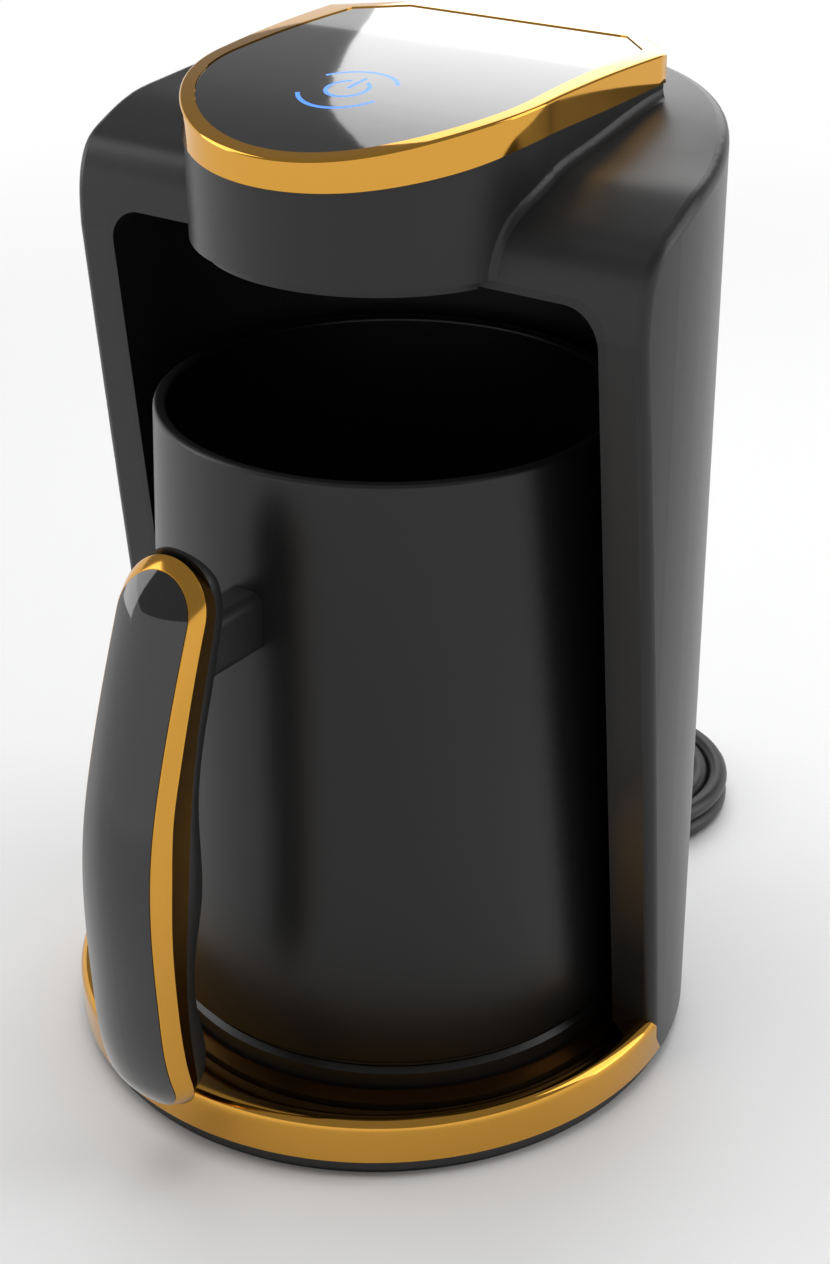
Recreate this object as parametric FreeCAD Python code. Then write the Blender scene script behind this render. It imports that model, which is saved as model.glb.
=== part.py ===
"""Electric coffee maker: a round tower with an alcove, a lift-out pot on a round connector
and a layered handle. Millimetres, +Z up, front towards -Y, origin on the floor under the tower."""
import math
import os
import FreeCAD, Part

V = FreeCAD.Vector
X_AXIS = V(1, 0, 0)
Y_AXIS = V(0, 1, 0)
Z_AXIS = V(0, 0, 1)

# Tower
TOWER_R = 64.0
SHELL_WALL = 2.2
FRONT_Y_AT_FLOOR = 5.6
FRONT_LEAN = 0.10
SHOULDER = [(-10.1, 160.3), (-9.8, 167.2), (-8.3, 172.9), (-5.9, 176.5), (-0.7, 179.5), (7.0, 182.7),
            (14.2, 184.2), (29.9, 187.7), (41.7, 189.4), (57.7, 190.5), (TOWER_R + 6.0, 190.7)]
TOP_EDGE_ROUND = 2.0
HEAD_BLEND = 1.5

# Alcove
ARM_DEPTH = 9.6
ALCOVE_R = TOWER_R - ARM_DEPTH
POT_Y = 5.5
ALCOVE_ROOF = 165.2
ALCOVE_CORNER = 7.0
LINER_WALL = 1.5

# Head
NOSE_R = TOWER_R - 28.4
NOSE_Y = 3.9
NOSE_BACK_HALF = TOWER_R - 26.3
NOSE_BACK_Y = TOWER_R - 14.3
NOSE_CORNER = 10.4
NOSE_BOTTOM = 164.7
NOSE_WALL = 2.4
HEAD_FLOOR_T = 2.0
TRIM_BOTTOM = [(-40.0, 181.8), (-32.0, 183.0), (-23.5, 184.9), (-12.6, 187.2), (-3.6, 188.9),
               (11.0, 190.0), (27.0, 190.8), (39.8, 191.6), (60.0, 192.0)]
TRIM_TOP = [(-40.0, 186.2), (-32.0, 188.4), (-24.0, 191.0), (-12.6, 193.7), (-3.0, 195.0),
            (11.0, 196.1), (27.0, 196.7), (40.0, 196.8), (60.0, 196.8)]
TRIM_PROUD = 0.4
TRIM_LEDGE = 1.6
PANEL_MARGIN = 2.9
PANEL_R = NOSE_R - PANEL_MARGIN
PANEL_Y = 3.2
PANEL_BACK_Y = NOSE_BACK_Y - 1.7
PANEL_CORNER = 8.0
PANEL_T = 2.0
PANEL_SINK = 0.25
PANEL_FIT = 0.1
CORNER_GROWTH = 2 - math.sqrt(2)
SKY = TRIM_TOP[-1][1] + 8.0

# Power symbol
SYMBOL_X = -0.3
SYMBOL_Y = -5.8
SYMBOL_R = 3.9
SYMBOL_LINE = 0.8
SYMBOL_BAR = 5.7
SYMBOL_ARC_R = 8.8
SYMBOL_DEPTH = 0.3

# Base
PAN_INSET = 1.4
PAN_R = TOWER_R - PAN_INSET
PAN_Z = 1.2
RING_Z = 4.0
FOOT_INSET = 0.8
FOOT_R = PAN_R - FOOT_INSET
FOOT_WIDTH = 6.8
RING_CREASE = 12.0
RING_SHOULDER = 1.7
RING_CREST_R = TOWER_R - RING_SHOULDER
RING_CREST_Z = RING_CREASE + 1.2
RING_BOWL = 5.0
RING_INNER_R = ALCOVE_R - RING_BOWL
RING_INNER_Z = 6.8
RING_WALL = 2.0
SEAM_TOP = (2.9, 13.9)
SEAM_LOW = (9.4, 3.5)
SEAT_GAP = 0.3
SEAT_TOP = 11.0
SEAT_WALL = 2.0
SEAT_BEVEL = 1.0
SCREW_R = 1.6
SCREW_HEAD_R = 3.2
SCREW_HEAD_T = 1.4
SCREW_LONG = 5.0
SCREW_CIRCLE = RING_INNER_R - 9.4

# Round connector
BOSS_R = 16.5
BOSS_TOP = 21.0
BOSS_FLANGE_R = 20.0
GROOVE_IN = 9.5
GROOVE_OUT = 12.5
GROOVE_FLOOR = 6.5
RUN_GAP = 0.3
SHUTTER_T = 2.5
SHUTTER_Z = 10.5
CENTRE_HOLE_R = 3.2
CENTRE_FLOOR = 7.0
CONTACT_T = 1.0

# Pot
POT_GAP = 4.4
POT_FOOT_R = ALCOVE_R - POT_GAP
POT_TAPER = 4.8
POT_RIM_R = POT_FOOT_R - POT_TAPER
POT_RIM_Z = 134.3
POT_FOOT_Z = 12.9
POT_WALL = 2.5
POT_FLOOR = 30.0
PLATE_R = POT_FOOT_R - 11.5
PLATE_T = 1.5
PLATE_TOP = POT_FLOOR - POT_WALL - 1.0
FLOOR_HOLE_R = PLATE_R - 4.5
ELEMENT_R = PLATE_R - 6.5
ELEMENT_TUBE = 3.25
RIM_ROUND = 1.0
CAP_R = POT_FOOT_R - 2.0
CAP_Z = SEAT_TOP + SEAT_GAP
CAP_TOP = CAP_Z + 2.7
CAP_SCREW_CIRCLE = POT_FOOT_R - 6.5
CAP_LUG_R = 3.4
CUP_R = 22.0
CUP_BORE = 17.2
CUP_ROOF = 21.6

# Handle, side view: distance in front of the pot's foot, and height
HANDLE_FROM = POT_Y - POT_FOOT_R
SHELL_BACK = [(27.0, 10.0), (29.5, 17.0), (33.4, 27.0), (35.1, 43.0), (35.6, 58.0), (33.3, 78.0),
              (29.5, 90.0), (24.4, 103.0), (20.9, 113.5), (18.3, 121.0), (15.5, 129.0)]
BAND_BACK = [(24.5, 10.0), (25.8, 20.0), (27.6, 43.0), (26.4, 57.0), (23.9, 77.0), (20.7, 94.0),
             (16.3, 108.0), (14.2, 115.0), (13.6, 120.0), (14.6, 125.2), (17.0, 131.0)]
GRIP_BACK = [(23.1, 10.0), (22.5, 18.5), (20.9, 22.5), (21.9, 36.0), (21.5, 48.5), (18.7, 59.0),
             (18.2, 69.0), (18.3, 78.0), (15.9, 91.0), (12.1, 102.0), (10.0, 109.0), (8.9, 114.0),
             (9.6, 119.0), (11.4, 123.5), (13.2, 126.4), (15.6, 131.0)]
SHELL_CROWN = 3.0
SHELL_HALF = 8.3
BAND_HALF = 9.5
GRIP_HALF = 7.5
SHELL_ENDS = (16.6, 123.8)
BAND_ENDS = (15.2, 125.2)
GRIP_ENDS = (15.8, 126.4)
CROWN_ROUND = 2.4
BAND_BEVEL = 0.8
GRIP_ROUND = 1.2
NECK_HALF = 4.0
NECK_Z = (99.5, 111.0)
NECK_ROUND = 2.0
HANDLE_SCREW_Z = (102.4, 108.2)
HANDLE_SCREW_R = 1.3
HANDLE_HEAD_R = 2.2
HANDLE_SEAT = 13.8

# Mains lead
CORD_R = 2.3
COIL_X = -1.0
COIL_Y = TOWER_R + 31.0
COIL_MID = 23.0
COIL_TURNS = 3
EXIT_X = COIL_X - COIL_MID - 2 * CORD_R
EXIT_Z = 3 * CORD_R
STEM_R = 2.9
RELIEF_R = 4.2
RELIEF_END_Y = COIL_Y - 17.4
PLUG_AT = (-56.0, COIL_Y + 47.6, 7.0)
PLUG_SLEEVE = 14.0
PLUG_TURN = 143.0
PLUG_SIZE = (34.0, 35.0, 14.0)
PIN_R = 2.0
PIN_LONG = 19.0
PIN_HALF_GAP = 9.3

# Wires and boards
WIRE_R = 1.5
WIRE_Y = 17.0
WIRE_HOLE_R = 2.2
WIRE_LOW_Z = 5.8
WIRE_TOP_Z = ALCOVE_ROOF + 3.7
WIRE_BEND = 3.0
SOCKET_X = -28.0
TERMINAL_X0 = -40.0
TERMINAL_X1 = -24.0
WINDOW_R = 6.0
WINDOW_Y = 22.0
BOARD_Z = ALCOVE_ROOF + 5.8
BOARD_T = 1.6
BOARD_HALF = 35.0
BOARD_Y0 = 5.0
BOARD_Y1 = 46.0
BOARD_SCREW_R = 1.5
TOUCH_HALF = 22.0
TOUCH_Y0 = -14.0
TOUCH_LONG = 48.0
TOUCH_Z0 = 189.4
TOUCH_RISE = 3.8
TOUCH_T = 1.2
SPACER_R = 1.8
PAD_R = 4.5
PAD_BORE = 2.5

BIG = 400.0


def box(x0, x1, y0, y1, z0, z1):
    return Part.makeBox(x1 - x0, y1 - y0, z1 - z0, V(x0, y0, z0))


def cyl(r, z0, z1, x=0.0, y=0.0):
    return Part.makeCylinder(r, z1 - z0, V(x, y, z0), Z_AXIS)


def tube(r_out, r_in, z0, z1, x=0.0, y=0.0):
    return cyl(r_out, z0, z1, x, y).cut(cyl(r_in, z0 - 1, z1 + 1, x, y))


def line(a, b):
    return Part.LineSegment(a, b).toShape()


def curve(points):
    spline = Part.BSplineCurve()
    spline.interpolate([V(0, y, z) for y, z in points])
    return spline.toShape()


def prism(edges, low, high):
    face = Part.Face(Part.Wire(Part.__sortEdges__(edges)))
    face.translate(V(0, 0, low))
    return face.extrude(V(0, 0, high - low))


def under(points, drop=0.0):
    """Everything below a side-view curve, as wide as the object."""
    y0, z0 = points[0]
    y1, z1 = points[-1]
    edges = [curve(points), line(V(0, y1, z1), V(0, y1, 0)), line(V(0, y1, 0), V(0, y0, 0)),
             line(V(0, y0, 0), V(0, y0, z0))]
    face = Part.Face(Part.Wire(edges))
    solid = face.extrude(V(2 * BIG, 0, 0))
    solid.translate(V(-BIG, 0, -drop))
    return solid


def round_edges(shape, radius, wanted, bevel=False):
    """Round or bevel the edges that the test picks."""
    edges = [e for e in shape.Edges if wanted(e)]
    if bevel:
        return shape.makeChamfer(radius, edges)
    return shape.makeFillet(radius, edges)


def front_y(z):
    return FRONT_Y_AT_FLOOR - FRONT_LEAN * z


def tower_block(inset, low):
    """Tower volume: a cylinder cut to the leaning front and the sloping shoulder."""
    top = [(y + inset, z - inset) for y, z in SHOULDER]
    start = V(0, front_y(low) + inset, low)
    first = V(0, top[0][0], top[0][1])
    last = V(0, top[-1][0], top[-1][1])
    corner = V(0, top[-1][0], low)
    edges = [line(start, first), curve(top), line(last, corner), line(corner, start)]
    side = Part.Face(Part.Wire(edges)).extrude(V(2 * BIG, 0, 0))
    side.translate(V(-BIG, 0, 0))
    return cyl(TOWER_R - inset, low, SKY).common(side)


def cut_corner_outline(r, middle_y, half, back, corner):
    """Plan outline: a front arc, straight sides, and back corners cut off at an angle."""
    edges = [Part.Arc(V(-r, middle_y, 0), V(0, middle_y - r, 0), V(r, middle_y, 0)).toShape()]
    for s in (1, -1):
        knee = V(s * half, back - corner, 0)
        tip = V(s * (half - corner), back, 0)
        edges += [line(V(s * r, middle_y, 0), knee), line(knee, tip)]
    edges.append(line(V(half - corner, back, 0), V(corner - half, back, 0)))
    return edges


def nose_edges(grow):
    corner = NOSE_CORNER + CORNER_GROWTH * grow
    return cut_corner_outline(NOSE_R + grow, NOSE_Y, NOSE_BACK_HALF + grow, NOSE_BACK_Y + grow, corner)


def panel_edges(grow):
    corner = PANEL_CORNER + CORNER_GROWTH * grow
    return cut_corner_outline(PANEL_R + grow, PANEL_Y, PANEL_R + grow, PANEL_BACK_Y + grow, corner)


def alcove_volume(grow, low):
    """Space for the pot: round behind its axis, straight in front, with rounded top corners."""
    r = ALCOVE_R + grow
    top = ALCOVE_ROOF + grow
    column = cyl(r, low, top, 0, POT_Y)
    column = round_edges(column, ALCOVE_CORNER, lambda e: abs(e.BoundBox.ZMin - top) < 0.01)
    front = box(-r, r, -BIG, POT_Y, low, top)

    def long_top(e):
        b = e.BoundBox
        return abs(b.ZMin - top) < 0.01 and b.YLength > 50
    front = round_edges(front, ALCOVE_CORNER, long_top)
    return column.fuse(front).removeSplitter()


# Base of the machine

def seam_block(z_high):
    """Region behind the slanting seam where the tower wall runs down to the foot."""
    y_a, z_a = SEAM_LOW
    y_b, z_b = SEAM_TOP
    t = (y_b - y_a) / (z_b - z_a)
    y_low = y_a - t * z_a
    y_high = y_a + t * (z_high - z_a)
    pts = [V(-BIG, y_low, 0), V(-BIG, y_high, z_high), V(-BIG, BIG, z_high), V(-BIG, BIG, 0)]
    face = Part.Face(Part.makePolygon(pts + [pts[0]]))
    return face.extrude(V(2 * BIG, 0, 0))


def slope_bowl(drop):
    """Space above the ring's slope: a leaning cone from the seat up to the crest."""
    low = Part.Wire([Part.makeCircle(RING_INNER_R, V(0, POT_Y, RING_INNER_Z - drop), Z_AXIS)])
    top = Part.Wire([Part.makeCircle(RING_CREST_R, V(0, 0, RING_CREST_Z - drop), Z_AXIS)])
    return Part.makeLoft([low, top], True, True)


def ring_block():
    """The gilt base ring before it is hollowed."""
    k = TOWER_R - RING_CREST_R
    crown = V(TOWER_R - 0.3 * k, 0, RING_CREASE + 0.7 * (RING_CREST_Z - RING_CREASE))
    edges = [line(V(0, 0, RING_Z), V(TOWER_R, 0, RING_Z)),
             line(V(TOWER_R, 0, RING_Z), V(TOWER_R, 0, RING_CREASE)),
             Part.Arc(V(TOWER_R, 0, RING_CREASE), crown, V(RING_CREST_R, 0, RING_CREST_Z)).toShape(),
             line(V(RING_CREST_R, 0, RING_CREST_Z), V(0, 0, RING_CREST_Z)),
             line(V(0, 0, RING_CREST_Z), V(0, 0, RING_Z))]
    block = Part.Face(Part.Wire(edges)).revolve(V(0, 0, 0), Z_AXIS, 360)
    block = block.cut(slope_bowl(0))
    block = block.cut(cyl(RING_INNER_R, 0, RING_INNER_Z + 0.5, 0, POT_Y))
    rear = tube(TOWER_R + 5, TOWER_R - SHELL_WALL, 0, 20).common(seam_block(20))
    return block.cut(rear)


def wire_slot():
    """Notch for the wires through the ring's lip and the seat's skirt."""
    r = RING_INNER_R
    return box(-r - 3.6, 4.4 - r, WIRE_Y - 2, WIRE_Y + 2, RING_Z, RING_Z + 3.6)


def base_ring():
    hollow = cyl(TOWER_R - RING_WALL, RING_Z - 1, RING_CREASE - 1)
    hollow = hollow.cut(slope_bowl(RING_WALL + 0.2))
    hollow = hollow.cut(cyl(RING_INNER_R + RING_WALL, 0, 20, 0, POT_Y))
    ring = ring_block().cut(hollow).cut(wire_slot())
    return ring.cut(cyl(WIRE_HOLE_R, RING_Z, 20, wire_x(), WIRE_Y))


def rubber_foot_ring():
    return tube(FOOT_R, FOOT_R - FOOT_WIDTH, 0, PAN_Z)


def screw_spots():
    spots = []
    for i in range(3):
        a = math.radians(90 + 120 * i)
        spots.append((SCREW_CIRCLE * math.cos(a), POT_Y + SCREW_CIRCLE * math.sin(a)))
    return spots


def screw(x, y, z, head_r, shank_r, shank):
    """A screw driven upwards, its head's upper face at z."""
    head = cyl(head_r, z - SCREW_HEAD_T, z, x, y)
    slot = box(x - head_r, x + head_r, y - 0.4, y + 0.4, z - SCREW_HEAD_T, z - 0.8)
    return head.cut(slot).fuse(cyl(shank_r, z, z + shank, x, y))


def base_pan():
    pan = cyl(PAN_R, PAN_Z, RING_Z)
    for x, y in screw_spots():
        pan = pan.cut(cyl(SCREW_R, 0, RING_Z + 1, x, y))
        pan = pan.cut(cyl(SCREW_HEAD_R + 0.2, 0, PAN_Z + 1.5, x, y))
    return pan


def base_screws():
    return [screw(x, y, PAN_Z + 1.5, SCREW_HEAD_R, SCREW_R, SCREW_LONG) for x, y in screw_spots()]


def pot_seat():
    r = RING_INNER_R - SEAT_GAP
    seat = cyl(r, RING_Z, SEAT_TOP, 0, POT_Y)
    seat = round_edges(seat, SEAT_BEVEL, lambda e: e.BoundBox.ZMin > SEAT_TOP - 0.01, True)
    seat = seat.cut(cyl(r - SEAT_WALL, 0, SEAT_TOP - SEAT_WALL, 0, POT_Y))
    for x, y in screw_spots():
        seat = seat.fuse(cyl(SCREW_R + 2, RING_Z, SEAT_TOP - SEAT_WALL, x, y))
        seat = seat.cut(cyl(SCREW_R, 0, RING_Z + SCREW_LONG, x, y))
    seat = seat.cut(cyl(BOSS_R + RUN_GAP, 0, 30, 0, POT_Y))
    return seat.cut(wire_slot())


def base_connector():
    boss = cyl(BOSS_R, RING_Z, BOSS_TOP, 0, POT_Y)
    boss = round_edges(boss, 0.8, lambda e: e.BoundBox.ZMin > BOSS_TOP - 0.01)
    boss = boss.fuse(cyl(BOSS_FLANGE_R, RING_Z, RING_Z + 2, 0, POT_Y))
    boss = boss.cut(tube(GROOVE_OUT, GROOVE_IN, GROOVE_FLOOR, 30, 0, POT_Y))
    boss = boss.cut(cyl(CENTRE_HOLE_R, CENTRE_FLOOR, 30, 0, POT_Y))
    for piece in base_contacts():
        boss = boss.cut(piece)
    return boss


def base_contacts():
    """Brass socket in the centre hole and a brass strip in the groove's outer wall."""
    socket = tube(CENTRE_HOLE_R + CONTACT_T, CENTRE_HOLE_R, CENTRE_FLOOR, BOSS_TOP - 1.5, 0, POT_Y)
    strip = tube(GROOVE_OUT + CONTACT_T, GROOVE_OUT, SHUTTER_Z + SHUTTER_T + 1, BOSS_TOP - 3, 0, POT_Y)
    half = GROOVE_OUT * 0.6
    strip = strip.common(box(-half, half, POT_Y, POT_Y + 20, 0, 30))
    return [socket, strip]


def shutter_ring():
    return tube(GROOVE_OUT - RUN_GAP, GROOVE_IN + RUN_GAP, SHUTTER_Z, SHUTTER_Z + SHUTTER_T, 0, POT_Y)


def shutter_spring():
    """A light coil spring on the groove's floor, drawn as three flat turns joined by posts."""
    wire = 0.8
    mid = 0.5 * (GROOVE_IN + GROOVE_OUT)
    low = GROOVE_FLOOR
    top = SHUTTER_Z - 0.2
    step = (top - low - wire) / 2
    spring = None
    for i in range(3):
        turn = tube(mid + wire / 2, mid - wire / 2, low + i * step, low + i * step + wire, 0, POT_Y)
        spring = turn if spring is None else spring.fuse(turn)
    for i in range(2):
        a = math.radians(40 + 180 * i)
        x = mid * math.cos(a)
        y = POT_Y + mid * math.sin(a)
        post = box(x - 0.35, x + 0.35, y - 0.35, y + 0.35, low + i * step, low + (i + 1) * step + wire)
        spring = spring.fuse(post)
    return spring


def terminal_block():
    block = box(TERMINAL_X0, TERMINAL_X1, 4, 20, RING_Z, RING_Z + 4.8)
    for y in (7.5, 16.5):
        block = block.cut(cyl(1.6, RING_Z + 2.5, 20, TERMINAL_X0 + 5, y))
        block = block.cut(cyl(1.6, RING_Z + 2.5, 20, TERMINAL_X1 - 5, y))
    return block


def wire_x():
    """Middle of the gap between the tower wall and the alcove liner."""
    outer = math.sqrt((TOWER_R - SHELL_WALL) ** 2 - WIRE_Y ** 2)
    inner = math.sqrt((ALCOVE_R + LINER_WALL) ** 2 - (WIRE_Y - POT_Y) ** 2)
    return -0.5 * (outer + inner)


def bent_tube(points, bends, radius):
    """A round tube along straight runs joined by tangent arcs."""
    edges = []
    start = points[0]
    for i in range(1, len(points) - 1):
        corner = points[i]
        a = (points[i - 1] - corner).normalize()
        b = (points[i + 1] - corner).normalize()
        half = 0.5 * (math.pi - a.getAngle(b))
        reach = bends[i - 1] * math.tan(half)
        p = corner + a * reach
        q = corner + b * reach
        mid_dir = (a + b).normalize()
        centre_far = bends[i - 1] / math.cos(half)
        m = corner + mid_dir * (centre_far - bends[i - 1])
        edges.append(line(start, p))
        edges.append(Part.Arc(p, m, q).toShape())
        start = q
    edges.append(line(start, points[-1]))
    path = Part.Wire(edges)
    first = (points[1] - points[0]).normalize()
    ring = Part.Wire([Part.makeCircle(radius, points[0], first)])
    return path.makePipeShell([ring], True, False), path.Length


def wiring_harness():
    points = [V(TERMINAL_X0, WIRE_Y, WIRE_LOW_Z), V(wire_x(), WIRE_Y, WIRE_LOW_Z),
              V(wire_x(), WIRE_Y, WIRE_TOP_Z), V(SOCKET_X, WIRE_Y, WIRE_TOP_Z)]
    return bent_tube(points, [WIRE_BEND, WIRE_BEND], WIRE_R)[0]


# Tower, alcove and head

def middle(edge):
    return edge.valueAt(0.5 * (edge.FirstParameter + edge.LastParameter))


def meets_head(edge):
    """True for the two pairs of edges where the head's sides run into the shoulder."""
    m = middle(edge)
    at_side = NOSE_R - 6 < abs(m.x) < NOSE_BACK_HALF and m.y < NOSE_BACK_Y - NOSE_CORNER
    high = NOSE_BOTTOM + 2 < m.z < z_at(TRIM_BOTTOM, m.y) - 0.5
    return at_side and high and edge.BoundBox.ZLength > 6 and edge.BoundBox.YLength > 3 and edge.Length > 20


def z_at(points, y):
    for (ya, za), (yb, zb) in zip(points, points[1:]):
        if ya <= y <= yb:
            return za + (zb - za) * (y - ya) / (yb - ya)
    return points[-1][1]


def body_shell():
    outer = tower_block(0, RING_Z)

    long_rim = [e for e in outer.Edges if e.Length > 2 * TOWER_R and middle(e).z > 0.9 * NOSE_BOTTOM]
    outer = outer.makeFillet(TOP_EDGE_ROUND, long_rim)
    nose = prism(nose_edges(0), NOSE_BOTTOM, SKY).common(under(TRIM_BOTTOM))
    outer = outer.fuse(nose).removeSplitter()
    side_edges = [e for e in outer.Edges if meets_head(e)]
    outer = outer.makeFillet(HEAD_BLEND, side_edges)
    inner = tower_block(SHELL_WALL, RING_Z - 3)
    low = prism(nose_edges(-NOSE_WALL), NOSE_BOTTOM - 5, SKY)
    inner = inner.fuse(low.common(under(TRIM_BOTTOM, NOSE_WALL)))
    shell = outer.cut(inner)
    shell = shell.cut(alcove_volume(LINER_WALL, 0))
    shell = shell.cut(ring_block())
    shell = shell.cut(relief_stem())
    return biggest(shell)


def biggest(shape):
    solids = sorted(shape.Solids, key=lambda s: -s.Volume)
    lost = sum(s.Volume for s in solids[1:])
    if lost > 0.5:
        print("loose bits dropped:", round(lost, 2))
    return solids[0]


def alcove_liner():
    liner = alcove_volume(LINER_WALL, RING_Z).cut(alcove_volume(0, 0))
    front = tower_block(0, 0)
    liner = liner.common(front).cut(ring_block())
    liner = liner.cut(cyl(RING_INNER_R, 0, RING_INNER_Z + 0.5, 0, POT_Y))
    liner = liner.cut(cyl(WINDOW_R, ALCOVE_ROOF - 5, SKY, 0, WINDOW_Y))
    return biggest(liner)


def head_floor():
    plate = prism(nose_edges(-NOSE_WALL), NOSE_BOTTOM, NOSE_BOTTOM + HEAD_FLOOR_T)
    plate = plate.cut(tower_block(0, NOSE_BOTTOM / 2))
    return biggest(plate)


def sensor_window():
    return cyl(WINDOW_R, ALCOVE_ROOF - 0.6, ALCOVE_ROOF + LINER_WALL, 0, WINDOW_Y)


def boil_sensor():
    body = cyl(WINDOW_R - 2, ALCOVE_ROOF + LINER_WALL, BOARD_Z, 0, WINDOW_Y)
    return body


def head_trim():
    trim = prism(nose_edges(TRIM_PROUD), NOSE_BOTTOM, SKY)
    trim = trim.common(under(TRIM_TOP)).cut(under(TRIM_BOTTOM))
    trim = trim.cut(prism(panel_edges(-TRIM_LEDGE), NOSE_BOTTOM, SKY))
    pocket = prism(panel_edges(PANEL_FIT), NOSE_BOTTOM, SKY)
    trim = trim.cut(pocket.cut(under(TRIM_TOP, PANEL_T + PANEL_SINK)))
    return biggest(trim)


def symbol_prism():
    """Plan shape of the power symbol: a broken ring, a bar and two outer arcs."""
    w = SYMBOL_LINE
    z0, z1 = NOSE_BOTTOM, SKY
    ring = tube(SYMBOL_R + w / 2, SYMBOL_R - w / 2, z0, z1, SYMBOL_X, SYMBOL_Y)
    gap = box(SYMBOL_X - 1.6, SYMBOL_X + 1.6, SYMBOL_Y, SYMBOL_Y + 8, z0, z1)
    pieces = [ring.cut(gap)]
    pieces.append(box(SYMBOL_X - w / 2, SYMBOL_X + w / 2, SYMBOL_Y, SYMBOL_Y + SYMBOL_BAR, z0, z1))
    outer = tube(SYMBOL_ARC_R + w / 2, SYMBOL_ARC_R - w / 2, z0, z1, SYMBOL_X, SYMBOL_Y)
    for a0, a1 in ((214, 338), (33, 152)):
        pts = [V(SYMBOL_X, SYMBOL_Y, z0)]
        for i in range(5):
            a = math.radians(a0 + (a1 - a0) * i / 4)
            pts.append(V(SYMBOL_X + 40 * math.cos(a), SYMBOL_Y + 40 * math.sin(a), z0))
        wedge = Part.Face(Part.makePolygon(pts + [pts[0]])).extrude(V(0, 0, z1 - z0))
        pieces.append(outer.common(wedge))
    return pieces


def power_symbol():
    layer = under(TRIM_TOP, PANEL_SINK).cut(under(TRIM_TOP, PANEL_SINK + SYMBOL_DEPTH))
    return [s for p in symbol_prism() for s in p.common(layer).Solids]


def touch_panel():
    panel = prism(panel_edges(0), NOSE_BOTTOM, SKY)
    panel = panel.common(under(TRIM_TOP, PANEL_SINK)).cut(under(TRIM_TOP, PANEL_SINK + PANEL_T))
    for piece in power_symbol():
        panel = panel.cut(piece)
    return biggest(panel)


def tilted(shape):
    """Turn a flat piece to the panel's slope about the touch board's front edge."""
    slope = math.degrees(math.atan2(TOUCH_RISE, TOUCH_LONG))
    shape.rotate(V(0, TOUCH_Y0, TOUCH_Z0), X_AXIS, slope)
    return shape


def touch_board():
    under_side = TOUCH_Z0 - TOUCH_T / 2
    return tilted(box(-TOUCH_HALF, TOUCH_HALF, TOUCH_Y0, TOUCH_Y0 + TOUCH_LONG, under_side, under_side + TOUCH_T))


def touch_spots():
    rows = (TOUCH_Y0 + 3, TOUCH_Y0 + TOUCH_LONG - 3)
    return [(x, y) for x in (3 - TOUCH_HALF, TOUCH_HALF - 3) for y in rows]


def touch_spacers():
    above = tilted(box(-BIG, BIG, -BIG, BIG, TOUCH_Z0 - TOUCH_T / 2, TOUCH_Z0 + BIG))
    pins = [cyl(SPACER_R, NOSE_BOTTOM, SKY, x, y).cut(under(TRIM_BOTTOM)).cut(above) for x, y in touch_spots()]
    return [biggest(p) for p in pins]


def touch_spring():
    """Conductive pad between the board and the panel, under the symbol."""
    below = tilted(box(-BIG, BIG, -BIG, BIG, TOUCH_Z0 - BIG, TOUCH_Z0 + TOUCH_T / 2))
    lid = prism(nose_edges(20), NOSE_BOTTOM, SKY).cut(under(TRIM_TOP, PANEL_T + PANEL_SINK))
    pad = tube(PAD_R, PAD_BORE, NOSE_BOTTOM, SKY, SYMBOL_X, SYMBOL_Y).cut(below).cut(lid)
    return biggest(pad)


def status_leds():
    lamps = []
    for x in (-9, 9):
        foot = TOUCH_Z0 + TOUCH_T / 2
        block = tilted(box(x - 1.5, x + 1.5, SYMBOL_Y - 1.5, SYMBOL_Y + 1.5, foot, foot + 0.8))
        lamps.append(block)
    return lamps


def board_spots():
    return [(x, y) for x in (4 - BOARD_HALF, BOARD_HALF - 4) for y in (BOARD_Y0 + 4, BOARD_Y1 - 4)]


def control_board():
    board = box(-BOARD_HALF, BOARD_HALF, BOARD_Y0, BOARD_Y1, BOARD_Z, BOARD_Z + BOARD_T)
    for x, y in board_spots():
        board = board.cut(cyl(BOARD_SCREW_R, 150, 190, x, y))
    return board


def board_spacers():
    low = ALCOVE_ROOF + LINER_WALL
    return [tube(3, BOARD_SCREW_R, low, BOARD_Z, x, y) for x, y in board_spots()]


def board_screws():
    pieces = []
    for x, y in board_spots():
        pin = cyl(BOARD_SCREW_R, ALCOVE_ROOF + LINER_WALL, BOARD_Z + BOARD_T, x, y)
        pieces.append(pin.fuse(cyl(2.6, BOARD_Z + BOARD_T, BOARD_Z + BOARD_T + 1.4, x, y)))
    return pieces


def on_board(x, y, dx, dy, high):
    z = BOARD_Z + BOARD_T
    return box(x - dx / 2, x + dx / 2, y - dy / 2, y + dy / 2, z, z + high)


def harness_socket():
    low = ALCOVE_ROOF + LINER_WALL
    return box(SOCKET_X, SOCKET_X + 9, WIRE_Y - 4, WIRE_Y + 4, low, BOARD_Z)


# Pot

def cone(r0, r1, z0, z1):
    return Part.makeCone(r0, r1, z1 - z0, V(0, POT_Y, z0), Z_AXIS)


def pot_radius(z):
    return POT_FOOT_R + (POT_RIM_R - POT_FOOT_R) * (z - POT_FOOT_Z) / (POT_RIM_Z - POT_FOOT_Z)


def pot_cone(inset, z0, z1):
    return cone(pot_radius(z0) - inset, pot_radius(z1) - inset, z0, z1)


def cap_spots():
    spots = []
    for i in range(3):
        a = math.radians(30 + 120 * i)
        spots.append((CAP_SCREW_CIRCLE * math.cos(a), POT_Y + CAP_SCREW_CIRCLE * math.sin(a)))
    return spots


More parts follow.
